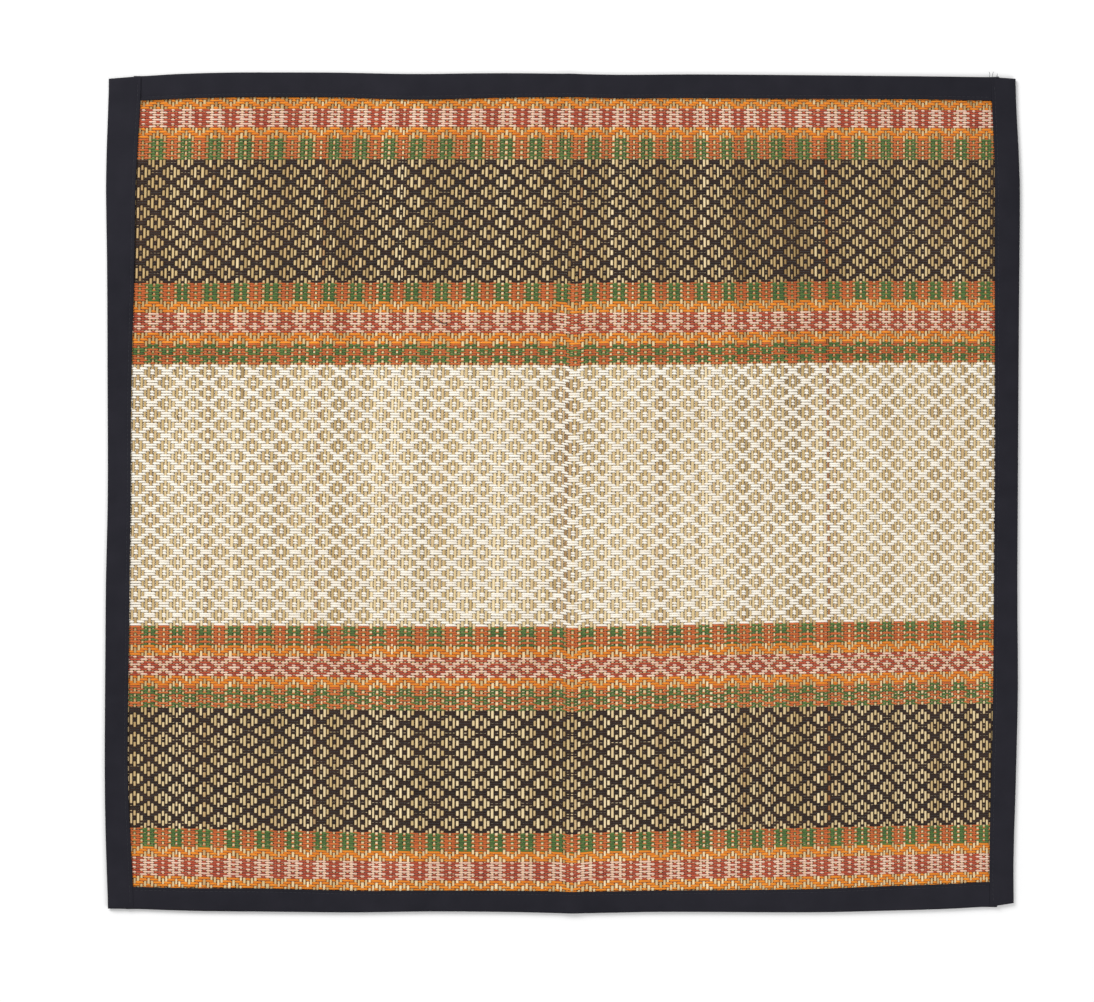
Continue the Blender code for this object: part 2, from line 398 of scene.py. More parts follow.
def strand_piece(name, strands, tones, stains_and_shade=None):
    """One object from many closed strands, each an array of rings of points."""
    corners = strands[0].shape[1]
    points, loops, sizes = [], [], []
    first = 0
    for strand in strands:
        count = len(strand)
        index = first + np.arange(count * corners).reshape(count, corners)
        following = np.roll(index, -1, axis=1)
        quads = np.stack((index[:-1], following[:-1], following[1:], index[1:]), axis=-1)
        loops += [quads.ravel(), index[0][::-1], index[-1]]
        sizes += [np.full(quads.size // 4, 4), np.full(2, corners)]
        points.append(strand.reshape(-1, 3))
        first += count * corners
    points = np.concatenate(points)
    loops = np.concatenate(loops)
    sizes = np.concatenate(sizes)
    mesh = bpy.data.meshes.new(name)
    mesh.vertices.add(len(points))
    mesh.vertices.foreach_set("co", points.ravel())
    mesh.loops.add(len(loops))
    mesh.loops.foreach_set("vertex_index", loops)
    mesh.polygons.add(len(sizes))
    mesh.polygons.foreach_set("loop_start", np.cumsum(sizes) - sizes)
    mesh.update(calc_edges=True)
    mesh.shade_smooth()
    ring_points = [len(strand) * corners for strand in strands]
    tone = mesh.attributes.new("tone", "FLOAT", "POINT")
    tone.data.foreach_set("value", np.repeat(np.array(tones, np.float32), ring_points))
    # Per-ring brown for the reeds: real stains, and painted shade over the fold line.
    if stains_and_shade is not None:
        stain_and_shade = mesh.attributes.new("stain_and_shade", "FLOAT", "POINT")
        spread = np.concatenate([np.repeat(values, corners) for values in stains_and_shade])
        stain_and_shade.data.foreach_set("value", spread.astype(np.float32))
    flat_map = mesh.uv_layers.new(name="OFBake")
    flat_map.data.foreach_set("uv", (points[loops][:, :2] / MAP_SPAN + 0.5).ravel())
    piece = bpy.data.objects.new(name, mesh)
    bpy.context.collection.objects.link(piece)
    triangles = int((sizes - 2).sum())
    print(name, "strands:", len(strands), " triangles:", triangles)
    return piece


# %% [markdown]
# A reed is a flat strip with a domed back. Its ring has six points, and a ring stands
# every centimetre or so, closer together at the ends, where the tape presses the reed
# down. Some reeds are old and brown along part of their length, and the reeds over the
# old fold line are darkened with painted shade. The values that each ring carries tell
# the material both. Reeds were laid in by the bundle, and a bundle has a tone of its
# own, so the mat is a little streaky from front to back.

# %% Make the reeds
REED_FILL = 0.74
REED_RISE = 0.42
REED_DROP = 0.38
REED_RING = np.array(
    ((-0.5, 0.0), (-0.27, 1.0), (0.27, 1.0), (0.5, 0.0), (0.27, -0.9), (-0.27, -0.9))
)
REED_SWING = 0.40
RING_PITCH = 13 * MM
BUNDLE = 6
RIM_RINGS = (0.0, 6.0, 12.0, 15.0, 18.0, 21.0, 25.0, 31.0)
StainAndShadeRow = namedtuple("StainAndShadeRow", "x width start end depth")
STAINS_AND_SHADE = (
    StainAndShadeRow(177.0, 2.8, 0.00, 1.00, 0.80),
    StainAndShadeRow(180.5, 2.4, 0.20, 0.90, 0.30),
    StainAndShadeRow(-161.0, 2.6, 0.00, 1.00, 0.50),
    StainAndShadeRow(10.5, 2.6, 0.02, 0.30, 0.60),
    # This row is painted shade, not a stain: it darkens the reeds of the white band over the old fold
    # line, where the fold lies in shade.
    StainAndShadeRow(2.0, 8.0, 0.32, 0.70, 0.30),
    StainAndShadeRow(-112.0, 2.2, 0.45, 0.70, 0.40),
    StainAndShadeRow(-68.0, 2.2, 0.00, 0.25, 0.40),
    StainAndShadeRow(120.0, 2.2, 0.60, 0.95, 0.35),
)


def reed_depths(front, back):
    """Y of the rings of a reed, closer together near its two ends."""
    rim = np.array(RIM_RINGS) * MM
    inner = np.linspace(front + rim[-1], back - rim[-1], round((back - front) / RING_PITCH))
    return np.concatenate((front + rim[:-1], inner, (back - rim[:-1])[::-1]))


def reed_stain_and_shade(x, y):
    """How brown a reed is along its length, from stains and from painted shade over the fold line.
    Every reed has a little stain of its own.
    """
    share = (FIRST_ROW_Y - y) / WOVEN_DEPTH
    stain_and_shade = np.full_like(y, max(chance.normal(-0.05, 0.15), 0.0))
    for row in STAINS_AND_SHADE:
        if abs(np.mean(x) - row.x * MM) < row.width * MM / 2:
            inside = np.clip((share - row.start) * 20, 0, 1) * np.clip((row.end - share) * 20, 0, 1)
            stain_and_shade = np.maximum(stain_and_shade, row.depth * inside)
    return stain_and_shade


def make_reed(k):
    """Rings of reed k, and how brown each one is, from stains and painted shade."""
    middle_x = (back_edges[k] + back_edges[k + 1]) / 2
    back = np.interp(middle_x, edges["back"].places, edges["back"].outer) - RIM_MIDDLE
    front = np.interp(middle_x, edges["front"].places, edges["front"].outer) + RIM_MIDDLE
    y = reed_depths(front, back)
    sides = np.array([reed_edges(place)[k : k + 2] for place in y])
    x = sides.mean(axis=1)
    taper = 1 + 0.06 * np.sin(y / 0.09 + chance.uniform(0, 6.3))
    width = (sides[:, 1] - sides[:, 0]) * REED_FILL * taper
    wander = 0.06 * MM * np.sin(y / 0.035 + chance.uniform(0, 6.3))
    half = read_grid(half_grid, x, y)
    height = REED_SWING * half * chance.uniform(0.88, 1.1)
    middle = read_grid(middle_grid, x, y)
    rings = np.empty((len(y), len(REED_RING), 3))
    rings[:, :, 0] = (x + wander)[:, None] + width[:, None] * REED_RING[:, 0]
    rings[:, :, 1] = y[:, None]
    rings[:, :, 2] = middle[:, None] + height[:, None] * REED_RING[:, 1]
    return rings, reed_stain_and_shade(x, y)


reed_parts = [make_reed(k) for k in range(REED_COUNT)]
bundles = chance.normal(size=REED_COUNT // BUNDLE + 2)
bundle_tone = np.interp(np.arange(REED_COUNT) / BUNDLE, np.arange(len(bundles)), bundles)
reed_tones = 0.5 + 0.17 * chance.normal(size=REED_COUNT) + 0.14 * bundle_tone
reed_tones = np.clip(reed_tones, 0, 1)
reeds = strand_piece(
    "reeds",
    [part[0] for part in reed_parts],
    reed_tones,
    [part[1] for part in reed_parts],
)

# %% [markdown]
# ## The yarns
#
# A yarn runs flat over the reeds of its shaft and dives under the others. Two rings
# stand at each change, one on either side of the gap between two reeds, so a yarn needs
# about one ring for each reed that it crosses. A ring has three points: a ridge and two
# sides above the reeds, and the same turned over below them, so that the mat is as
# round underneath as on top. Where two yarns of one row are both above, or both below,
# they lie side by side.

# %% Make the yarns
YARN_LEVEL = 0.66
YARN_RIDGE = 0.32
YARN_BASE = 0.22
YARN_WIDTHS = {"Y": 1.95, "W": 1.25, "R": 1.50, "O": 1.62, "G": 1.62, "K": 1.72, "N": 1.75}
PAIRED_SHARE = 0.64
CHANGE_SHARE = 0.2
APART = 0.42 * MM
CLOSE = 0.10 * MM
TOP_RING = np.array(((0.5, -YARN_BASE), (0.0, YARN_RIDGE), (-0.5, -YARN_BASE)))
UNDER_RING = np.array(((0.5, YARN_BASE), (-0.5, YARN_BASE), (0.0, -YARN_RIDGE)))


def over_reeds(shaft):
    """For each reed, whether a yarn on this shaft passes over it."""
    return np.isin(reed_columns, SHAFTS[shaft])


def make_yarn(row, number):
    """Rings of one yarn of a row, from the left edge to the right."""
    colour, shaft = row.yarns[number]
    over = over_reeds(shaft)
    xs = reed_edges(row.y)
    gaps = np.flatnonzero(over[1:] != over[:-1]) + 1
    reach = CHANGE_SHARE * np.diff(xs)[gaps]
    x = np.stack((xs[gaps] - reach, xs[gaps] + reach), axis=1).ravel()
    reed = np.stack((gaps - 1, gaps), axis=1).ravel()
    x = np.concatenate(([xs[0]], x, [xs[-1]]))
    reed = np.concatenate(([0], reed, [REED_COUNT - 1]))
    above = over[reed]
    paired = np.zeros(len(x), bool)
    aside = np.zeros(len(x))
    if len(row.yarns) == 2:
        paired = over_reeds(row.yarns[1 - number][1])[reed] == above
        aside = np.where(paired, APART, CLOSE) * (0.5 - number) * 2
    wave = chance.uniform(0, 6.3, 2)
    wander = 0.07 * MM * (np.sin(x / 0.021 + wave[0]) + np.sin(x / 0.057 + wave[1]))
    wander = wander + chance.normal(0, 0.04 * MM, len(x))
    y = row.y - bend(x, row.y) + aside + wander
    half = read_grid(half_grid, x, y)
    level = np.where(above, 1.0, -1.0) * YARN_LEVEL * half
    middle = read_grid(middle_grid, x, y) + level
    width = YARN_WIDTHS[colour] * MM * (1 + 0.08 * chance.normal(size=len(x)))
    width = width * np.where(paired, PAIRED_SHARE, 1.0)
    shape = np.where(above[:, None, None], TOP_RING, UNDER_RING)
    rings = np.empty((len(x), 3, 3))
    rings[:, :, 0] = x[:, None]
    rings[:, :, 1] = y[:, None] + width[:, None] * shape[:, :, 0]
    rings[:, :, 2] = middle[:, None] + half[:, None] * shape[:, :, 1]
    return rings


YARN_NAMES = {
    "Y": "yarn_orange",
    "W": "yarn_pale",
    "R": "yarn_red",
    "O": "yarn_rust",
    "G": "yarn_green",
    "K": "yarn_black",
    "N": "yarn_white",
}
spun = {letter: [] for letter in YARN_NAMES}
for row in rows:
    for number, (letter, shaft) in enumerate(row.yarns):
        spun[letter].append(make_yarn(row, number))
yarns = {}
for letter, strands in spun.items():
    tones = np.clip(0.5 + 0.2 * chance.normal(size=len(strands)), 0, 1)
    yarns[letter] = strand_piece(YARN_NAMES[letter], strands, tones)

# %% [markdown]
# ## The binding
#
# A tape is a strip of dark cotton whose raw edges are turned in, so it is two layers
# thick. It wraps the cut edge of the weave: underneath, round the fold and back over
# the top. The profile below goes once round the cloth. Its points are distances in from
# the fold, where `wide` counts from the tape's inner edge instead. The seam presses a
# shallow groove into both layers, a little way in from the inner edge.

# %% The profile of a folded tape
GROOVE = 0.28
SEAM_INSET = 2.2
CROWN = 0.12
ProfilePoint = namedtuple("ProfilePoint", "fold wide z")


def profile_point(place, z, counts_from="fold"):
    if counts_from == "fold":
        return ProfilePoint(place, 0.0, z)
    return ProfilePoint(-place, 1.0, z)


def tape_profile():
    """Points once round the cloth: the outer face from below to above, then the inner."""
    full = FULL_THICKNESS / MM
    radius = full / 2
    cloth = TAPE_THICKNESS / MM
    lower = [
        profile_point(0.0, cloth / 2, "edge"),
        profile_point(0.2, 0.1, "edge"),
        profile_point(0.8, 0.0, "edge"),
        profile_point(SEAM_INSET, GROOVE, "edge"),
        profile_point(3.4, 0.0, "edge"),
        profile_point(6.0, 0.0),
        profile_point(3.2, 0.0),
    ]
    fold = []
    for angle in np.radians((-80, -50, -20, 10, 40, 65, 85)):
        fold.append(profile_point(radius * (1 - math.cos(angle)), radius * (1 + math.sin(angle))))
    upper = [
        profile_point(3.2, full + CROWN / 2),
        profile_point(6.0, full + CROWN),
        profile_point(5.0, full + CROWN / 2, "edge"),
        profile_point(3.3, full, "edge"),
        profile_point(SEAM_INSET + 0.4, full - GROOVE * 0.6, "edge"),
        profile_point(SEAM_INSET, full - GROOVE, "edge"),
        profile_point(SEAM_INSET - 0.4, full - GROOVE * 0.6, "edge"),
        profile_point(0.9, full, "edge"),
        profile_point(0.25, full - 0.1, "edge"),
        profile_point(0.0, full - cloth / 2, "edge"),
    ]
    inside = [
        profile_point(0.25, full - cloth + 0.1, "edge"),
        profile_point(0.9, full - cloth, "edge"),
        profile_point(4.0, full - cloth),
        profile_point(cloth + 0.1, radius),
        profile_point(4.0, cloth),
        profile_point(0.9, cloth, "edge"),
        profile_point(0.25, cloth - 0.1, "edge"),
    ]
    return lower + fold + upper + inside


profile = tape_profile()
print("points round the cloth:", len(profile))

# %% [markdown]
# The two side tapes were sewn on last, so they lie over the ends of the back and front
# tapes and are a little thicker there. At its own ends a tape is tucked in and closed.
# `swell` opens the profile where it covers another tape, and `tuck` closes it.

# %% Sections of a tape along its length
STATION_PITCH = 2.2 * MM
LAP = 5.0 * MM
LAP_RISE = 0.45
LAP_SINK = 0.60
TUCK_REACH = 2.6 * MM
UNEVEN = 0.10


def soft_step(distance, reach):
    """From 0 to 1 over a distance, without a corner."""
    share = np.clip(distance / reach, 0, 1)
    return share * share * (3 - 2 * share)


def tucked(distance):
    """How open a tape is near its own end: round and nearly closed at the end."""
    share = np.clip(1 - distance / TUCK_REACH, 0, 1)
    return np.maximum(np.sqrt(1 - share**2), 0.12)


def slow_wave(places, wavelengths, seed):
    """A gentle unevenness along a length, about one high and one low at most."""
    draw = np.random.default_rng(seed)
    wave = np.zeros(len(places))
    for wavelength in wavelengths:
        wave += np.sin(places / (wavelength * MM) * math.tau + draw.uniform(0, 6.3))
    return wave / len(wavelengths)


def tape_rings(outer, inner, heights, swell, opening, seed):
    """Rings of a tape as (distance across, height). All values are per station."""
    stations = len(outer)
    crown = slow_wave(np.arange(stations) * STATION_PITCH, (9, 14, 31), seed)
    pull = slow_wave(np.arange(stations) * STATION_PITCH, (3.1, 5.3, 7.9), seed + 1)
    across = np.empty((stations, len(profile)))
    z = np.empty((stations, len(profile)))
    width = np.abs(inner - outer)
    direction = np.sign(inner - outer)
    half = FULL_THICKNESS / 2
    for k, point in enumerate(profile):
        edge_pull = 0.10 * MM * pull * point.wide
        away = point.fold * MM + point.wide * width + edge_pull
        across[:, k] = outer + direction * away
        height = point.z * MM
        if point.z > 3.0 and 2.0 < point.fold:
            height = height + UNEVEN * MM * crown
        above = height - half
        rise = np.where(above > 0, swell * MM * soft_step(away, 3 * MM), 0.0)
        z[:, k] = half + above * opening + rise + heights
    return across, z


# %% [markdown]
# The side tapes follow the depth of the mat, and the back and front tapes its width.
# A tape that runs from side to side has its points in the same order as one that runs
# from front to back only if it is read the other way round, so that its faces point out.
# The ends of the side tapes weren't cut square: their outer corners stand back a little.

# %% Make the four tapes
LEANS = {"left": (1.8, 0.2), "right": (1.1, 2.6)}
LEAN_REACH = 24 * MM


def corner_of(edge, place, line="outer"):
    return np.interp(place, edge.places, getattr(edge, line))


def side_swell(x, y):
    """How much thicker a side tape is where it covers the end of another tape."""
    back_inner = corner_of(edges["back"], x, "inner")
    front_inner = corner_of(edges["front"], x, "inner")
    swell = soft_step(y - back_inner + 3 * MM, 6 * MM)
    return LAP_RISE * (swell + soft_step(front_inner + 3 * MM - y, 6 * MM))


def side_tape(name, side, seed):
    edge = edges[side]
    x_edge = edge.outer[len(edge.outer) // 2]
    front = corner_of(edges["front"], x_edge)
    back = corner_of(edges["back"], x_edge)
    tuck = np.array((0.02, 0.25, 0.7, 1.4)) * MM
    middle = np.linspace(front + TUCK_REACH, back - TUCK_REACH, round((back - front) / STATION_PITCH))
    y = np.concatenate((front + tuck, middle, (back - tuck)[::-1]))
    outer = np.interp(y, edge.places, edge.outer)
    inner = np.interp(y, edge.places, edge.inner)
    opening = tucked(np.minimum(y - y[0], y[-1] - y))
    swell = side_swell(x_edge, y) * opening
    across, z = tape_rings(outer, inner, np.zeros(len(y)), swell, opening, seed)
    rings = np.empty(across.shape + (3,))
    rings[:, :, 0] = across
    rings[:, :, 1] = y[:, None]
    rings[:, :, 2] = z
    share = (across - inner[:, None]) / (outer - inner)[:, None]
    lean_back, lean_front = LEANS[side]
    near_back = np.clip(1 - (back - y) / LEAN_REACH, 0, 1)[:, None]
    near_front = np.clip(1 - (y - front) / LEAN_REACH, 0, 1)[:, None]
    rings[:, :, 1] += share * (lean_front * near_front - lean_back * near_back) * MM
    if side == "left":
        rings = rings[:, ::-1]
    return strand_piece(name, [rings[:, ::-1]], [0.5])


def end_tape(name, end, seed):
    edge = edges[end]
    y_edge = (edge.inner[len(edge.inner) // 2] + edge.outer[len(edge.outer) // 2]) / 2
    left = np.interp(y_edge, edges["left"].places, edges["left"].inner) - LAP
    right = np.interp(y_edge, edges["right"].places, edges["right"].inner) + LAP
    x = np.linspace(left, right, round((right - left) / STATION_PITCH) + 1)
    outer = np.interp(x, edge.places, edge.outer)
    inner = np.interp(x, edge.places, edge.inner)
    lapped = 1 - soft_step(np.minimum(x - left, right - x) - LAP + 2 * MM, 5 * MM)
    opening = 1 - lapped * LAP_SINK / (FULL_THICKNESS / MM / 2)
    across, z = tape_rings(outer, inner, fold_lift(x), np.zeros(len(x)), opening, seed)
    rings = np.empty(across.shape + (3,))
    rings[:, :, 0] = x[:, None]
    rings[:, :, 1] = across
    rings[:, :, 2] = z
    if end == "front":
        rings = rings[:, ::-1]
    return strand_piece(name, [rings], [0.5])


tapes = {
    "left": side_tape("tape_left", "left", 5),
    "right": side_tape("tape_right", "right", 6),
    "back": end_tape("tape_back", "back", 7),
    "front": end_tape("tape_front", "front", 8),
}

# %% [markdown]
# ## The sewing
#
# One line of running stitches holds each tape, a little in from its inner edge. The
# needle goes through everything, so the line shows above and below. A stitch is a short
# thread that dips into the cloth at both ends. A few ends of thread were left loose at
# the back right corner, and some dark chaff is caught in the weave.

# %% A thread along a list of points
def thread_rings(points, radius):
    """Rings of four points round a thread that follows the points."""
    points = np.asarray(points, float)
    direction = np.gradient(points, axis=0)
    side = np.stack((-direction[:, 1], direction[:, 0], np.zeros(len(points))), axis=1)
    side = side / np.maximum(np.linalg.norm(side, axis=1), 1e-9)[:, None] * radius
    rise = np.zeros_like(side)
    rise[:, 2] = radius
    return np.stack((points + side, points + rise, points - side, points - rise), axis=1)


THREAD_RADIUS = 0.17 * MM
STITCH_PITCH = 3.1 * MM
STITCH_SHARES = np.array((-0.42, -0.28, 0.28, 0.42))
STITCH_DIP = np.array((1.0, 0.0, 0.0, 1.0))
TOP_SEAM = FULL_THICKNESS - GROOVE * MM + 0.14 * MM
UNDER_SEAM = 0.19 * MM
SEAM_DIP = 0.30 * MM


def seam(places, line, height, along, top):
    """Stitches centred on places. line and height give where the seam lies there."""
    stitches = []
    for place in places:
        spots = place + STITCH_SHARES * STITCH_PITCH
        points = np.empty((len(spots), 3))
        points[:, along] = spots
        points[:, 1 - along] = line(spots) + chance.normal(0, 0.05 * MM)
        dip = STITCH_DIP * SEAM_DIP
        points[:, 2] = height(spots) + (TOP_SEAM - dip if top else UNDER_SEAM + dip)
        stitches.append(thread_rings(points, THREAD_RADIUS))
    return stitches


# %% [markdown]
# The seams of the side tapes run the whole depth of the mat. Those of the back and
# front tapes show only between them.

# %% Sew the four tapes
def seam_line(edge):
    inwards = np.sign(edge.inner.mean() - edge.outer.mean())
    return lambda places: np.interp(places, edge.places, edge.inner) - inwards * SEAM_INSET * MM


stitches = []
for side, edge in edges.items():
    along = 1 if side in ("left", "right") else 0
    if along == 1:
        x_edge = edge.inner.mean()
        start = corner_of(edges["front"], x_edge) + 4 * MM
        end = corner_of(edges["back"], x_edge) - 4 * MM
        swelling = lambda places: side_swell(x_edge, places) * MM
        flat = lambda places: np.zeros(len(places))
    else:
        y_edge = edge.inner.mean()
        start = corner_of(edges["left"], y_edge, "inner") + 1 * MM
        end = corner_of(edges["right"], y_edge, "inner") - 1 * MM
        swelling = fold_lift
        flat = fold_lift
    places = np.arange(start + STITCH_PITCH / 2, end - STITCH_PITCH / 2, STITCH_PITCH)
    stitches += seam(places, seam_line(edge), swelling, along, True)
    stitches += seam(places + STITCH_PITCH / 2, seam_line(edge), flat, along, False)
print("stitches:", len(stitches))

# %% [markdown]
# A loose end is a short curl. It starts on the cloth and reaches out over the edge.

# %% Loose thread ends and chaff
Curl = namedtuple("Curl", "x y length turn bend z")
LOOSE_ENDS = (
    Curl(284.0, 275.4, 5.0, 70, 40, 3.7),
    Curl(286.5, 275.8, 4.6, 105, -50, 3.7),
    Curl(288.0, 275.6, 4.0, 40, 60, 3.7),
    Curl(291.5, 275.6, 3.4, 120, 50, 3.7),
)
CHAFF = (
    Curl(-258.6, 80.6, 1.8, 80, 10, 2.35),
    Curl(-256.2, 49.6, 2.2, 95, 10, 2.35),
    Curl(-14.2, 13.9, 3.0, -20, 15, 2.35),
    Curl(-86.0, 117.5, 7.0, -52, 35, 2.35),
    Curl(-80.2, 112.6, 4.0, 20, -60, 2.35),
    Curl(-2.0, -128.0, 2.2, 60, 30, 2.4),
)
CURL_POINTS = 9


def curl_points(curl):
    """Points along a bent line from its place, in the direction turn, in degrees."""
    share = np.linspace(0, 1, CURL_POINTS)
    angle = np.radians(curl.turn + curl.bend * share)
    step = curl.length * MM / (CURL_POINTS - 1)
    x = curl.x * MM + np.concatenate(([0], np.cumsum(np.cos(angle[:-1]) * step)))
    y = curl.y * MM + np.concatenate(([0], np.cumsum(np.sin(angle[:-1]) * step)))
    z = curl.z * MM + 0.25 * MM * np.sin(share * math.pi)
    return np.stack((x, y, z), axis=1)


loose = [thread_rings(curl_points(curl), 0.14 * MM) for curl in LOOSE_ENDS]
sewing = strand_piece("sewing_thread", stitches + loose, [0.5] * (len(stitches) + len(loose)))
bits = [thread_rings(curl_points(curl), 0.26 * MM) for curl in CHAFF]
chaff = strand_piece("chaff", bits, [0.5] * len(bits))

# %% [markdown]
# ## Materials
#
# Three effects are shared: the twist of a spun yarn, the grain of a split reed, and the
# slow mottling of a thing that was dyed and dried by hand. Each is a node group with
# named sockets, made once. A group puts out only values. The shaders stay outside.

# %% Helpers for node groups
def new_group(name, inputs, outputs):
    """An empty node group with number sockets, and its input and output nodes."""
    group = bpy.data.node_groups.new(name, "ShaderNodeTree")
    for socket, value in inputs:
        made = group.interface.new_socket(socket, in_out="INPUT", socket_type="NodeSocketFloat")
        made.default_value = value
    for socket in outputs:
        group.interface.new_socket(socket, in_out="OUTPUT", socket_type="NodeSocketFloat")
    start = group.nodes.new("NodeGroupInput")
    end = group.nodes.new("NodeGroupOutput")
    return group, start, end


def math_node(tree, operation, first, second=None):
    """A Math node. Each argument is a number or a socket to link from."""
    node = tree.nodes.new("ShaderNodeMath")
    node.operation = operation
    for socket, value in zip(node.inputs, (first, second)):
        if value is None:
            continue
        if isinstance(value, (int, float)):
            socket.default_value = value
        else:
            tree.links.new(value, socket)
    return node.outputs[0]


def object_place(tree):
    """The X, Y and Z of the shaded point, in the mat's own frame."""
    coordinates = tree.nodes.new("ShaderNodeTexCoord")
    split = tree.nodes.new("ShaderNodeSeparateXYZ")
    tree.links.new(coordinates.outputs["Object"], split.inputs[0])
    return coordinates.outputs["Object"], split.outputs


def stretched_noise(tree, vector, stretch, scale, detail=2.0):
    """Noise whose coordinates are first stretched along each axis."""
    mapping = tree.nodes.new("ShaderNodeMapping")
    mapping.inputs["Scale"].default_value = stretch
    noise = tree.nodes.new("ShaderNodeTexNoise")
    noise.inputs["Scale"].default_value = scale
    noise.inputs["Detail"].default_value = detail
    tree.links.new(vector, mapping.inputs["Vector"])
    tree.links.new(mapping.outputs["Vector"], noise.inputs["Vector"])
    return noise.outputs["Fac"]


# %% [markdown]
# Cotton yarn is two plies twisted together. Seen close, it has slanting ribs along it,
# with loose fibres between them. A sine of a slanting distance makes the ribs, and a
# fine noise adds the fibres.

# %% The twist of a yarn
def make_twist_group():
    group, start, end = new_group(
        "yarn_twist", (("Turns", 900.0), ("Slant", 700.0)), ("Height", "Fibre")
    )
    vector, place = object_place(group)
    along = math_node(group, "MULTIPLY", place[0], start.outputs["Turns"])
    aside = math_node(group, "MULTIPLY", place[1], start.outputs["Slant"])
    phase = math_node(group, "MULTIPLY", math_node(group, "ADD", along, aside), math.tau)
    ribs = math_node(group, "MULTIPLY_ADD", math_node(group, "SINE", phase), 0.35)
    ribs.node.inputs[2].default_value = 0.4
    fibre = stretched_noise(group, vector, (1.0, 2.5, 2.5), 2600.0)
    height = math_node(group, "MULTIPLY_ADD", fibre, 0.5)
    group.links.new(ribs, height.node.inputs[2])
    group.links.new(height, end.inputs["Height"])
    group.links.new(fibre, end.inputs["Fibre"])
    return group


twist_group = make_twist_group()
print("group:", twist_group.name)

# %% [markdown]
# A reed is grass: long fibres run its whole length, so its grain is noise that is
# stretched a hundredfold from front to back. Broader strokes carry the colour.

# %% The grain of a reed
def make_grain_group():
    group, start, end = new_group("reed_grain", (), ("Height", "Streak"))
    vector, place = object_place(group)
    fine = stretched_noise(group, vector, (1.0, 0.02, 1.0), 3800.0, 3.0)
    broad = stretched_noise(group, vector, (1.0, 0.03, 1.0), 620.0, 2.0)
    group.links.new(fine, end.inputs["Height"])
    group.links.new(broad, end.inputs["Streak"])
    return group


grain_group = make_grain_group()

# %% [markdown]
# Nothing on the mat has one even colour. This group gives a slow drift over
# decimetres and a patchier one over centimetres, for every material to take a share of.

# %% Slow mottling
def make_mottle_group():
    group, start, end = new_group("mottling", (), ("Drift", "Patch"))
    vector, place = object_place(group)
    drift = stretched_noise(group, vector, (1.0, 1.0, 1.0), 9.0, 1.0)
    patch = stretched_noise(group, vector, (1.0, 1.0, 1.0), 70.0, 3.0)
    group.links.new(drift, end.inputs["Drift"])
    group.links.new(patch, end.inputs["Patch"])
    return group


mottle_group = make_mottle_group()

# %% [markdown]
# Every material mixes from a deep to a light colour. What shifts it is a sum: the
# strand's own tone, its fibre and the mottling, each with its weight. The same sum
# nudges the roughness, and the group's height goes through a Bump node.

# %% Helpers for materials
def placed_group(tree, group, **values):
    node = tree.nodes.new("ShaderNodeGroup")
    node.node_tree = group
    for socket, value in values.items():
        node.inputs[socket].default_value = value
    return node


def weighted_sum(tree, base, *terms):
    """base plus each socket times its weight."""
    total = base
    for socket, weight in terms:
        term = math_node(tree, "MULTIPLY", socket, weight)
        total = math_node(tree, "ADD", term, total)
    return total


def colour_ramp(tree, value, *stops):
    """A ramp through (position, colour) stops. The colours are screen values, 0 to 255."""
    node = tree.nodes.new("ShaderNodeValToRGB")
    ramp = node.color_ramp
    while len(ramp.elements) < len(stops):
        ramp.elements.new(0.5)
    for element, (position, colour) in zip(ramp.elements, stops):
        element.position = position
        element.color = linear(colour)
    tree.links.new(value, node.inputs["Fac"])
    return node.outputs["Color"]


def linear(colour):
    """Screen values of 0 to 255 as the linear colour that shaders use."""
    values = [channel / 255 for channel in colour]
    return tuple((v / 12.92 if v <= 0.04045 else ((v + 0.055) / 1.055) ** 2.4) for v in values) + (1.0,)


def new_material(name):
    material = bpy.data.materials.new(name)
    material.use_nodes = True
    return material, material.node_tree, material.node_tree.nodes["Principled BSDF"]


def add_bump(tree, shader, height, strength, distance):
    bump = tree.nodes.new("ShaderNodeBump")
    bump.inputs["Strength"].default_value = strength
    bump.inputs["Distance"].default_value = distance
    tree.links.new(height, bump.inputs["Height"])
    tree.links.new(bump.outputs["Normal"], shader.inputs["Normal"])


def strand_tone(tree, name="tone"):
    node = tree.nodes.new("ShaderNodeAttribute")
    node.attribute_name = name
    return node.outputs["Fac"]


# %% [markdown]
# The yarns differ only in their dye. Cotton is dull and slightly furry, so the
# roughness is high, and a little sheen catches the light on the fibres.

# %% Yarn materials
YARN_COLOURS = {
    "Y": ((204, 106, 14), (248, 156, 42)),
    "W": ((222, 172, 147), (255, 226, 205)),
    "R": ((141, 45, 25), (200, 90, 55)),
    "O": ((168, 78, 28), (218, 115, 53)),
    "G": ((50, 84, 32), (101, 134, 64)),
    "K": ((25, 9, 2), (60, 37, 24)),
    "N": ((242, 231, 213), (255, 250, 238)),
}


def yarn_material(letter):
    deep, light = YARN_COLOURS[letter]
    material, tree, shader = new_material(YARN_NAMES[letter] + "_cotton")
    twist = placed_group(tree, twist_group)
    mottle = placed_group(tree, mottle_group)
    shift = weighted_sum(
        tree,
        -0.45,
        (strand_tone(tree), 0.45),
        (twist.outputs["Fibre"], 0.5),
        (mottle.outputs["Patch"], 0.6),
        (mottle.outputs["Drift"], 0.4),
    )
    tree.links.new(colour_ramp(tree, shift, (0.1, deep), (0.9, light)), shader.inputs["Base Color"])
    roughness = weighted_sum(tree, 0.72, (twist.outputs["Fibre"], 0.2))
    tree.links.new(roughness, shader.inputs["Roughness"])
    shader.inputs["Sheen Weight"].default_value = 0.15
    shader.inputs["Specular IOR Level"].default_value = 0.25
    add_bump(tree, shader, twist.outputs["Height"], 0.7, 0.12 * MM)
    return material


for letter, piece in yarns.items():
    piece.data.materials.append(yarn_material(letter))
    print(piece.name, "is finished with", piece.data.materials[0].name)
